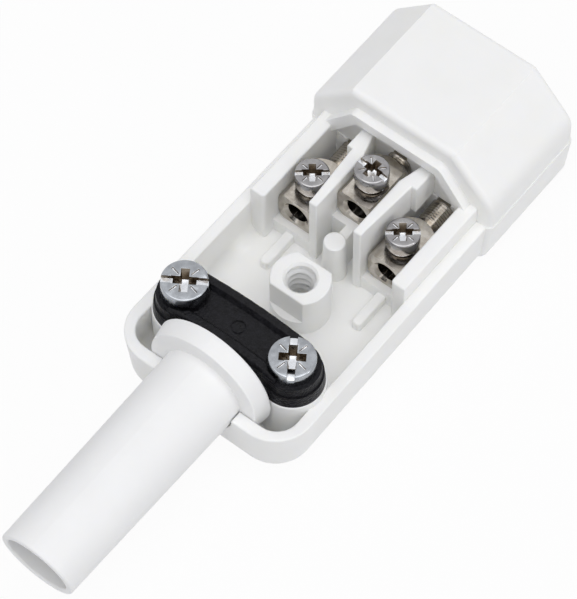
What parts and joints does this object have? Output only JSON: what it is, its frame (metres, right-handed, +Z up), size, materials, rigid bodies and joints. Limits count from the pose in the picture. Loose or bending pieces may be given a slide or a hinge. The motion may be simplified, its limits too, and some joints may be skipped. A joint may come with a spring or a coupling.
{
  "type": "appliance plug connector",
  "caption": "Rewireable appliance plug seen open: pin hood, tray with screw terminals, cord clamp bar and a plain cord sleeve.",
  "frame": {"origin": "centre of the bounding box in plan, on the flat underside", "axes": "+X to the right, +Y from the cord sleeve towards the open front of the hood, +Z up out of the open tray"},
  "size_m": [0.0284, 0.0876, 0.0195],
  "materials": {
    "housing": "satin white",
    "sleeve": "soft satin white",
    "contact": "bright nickel plate",
    "screw": "bright zinc plate",
    "clamp_bar": "fine grained black"
  },
  "bodies": {
    "root": {"housing": "housing", "contact_line": "contact", "contact_neutral": "contact", "contact_earth": "contact", "terminal_screw_line": "screw", "terminal_screw_neutral": "screw", "terminal_screw_earth": "screw", "cord_sleeve": "sleeve", "clamp_bar": "clamp_bar", "clamp_screw_left": "screw", "clamp_screw_right": "screw"}
  },
  "joints": []
}
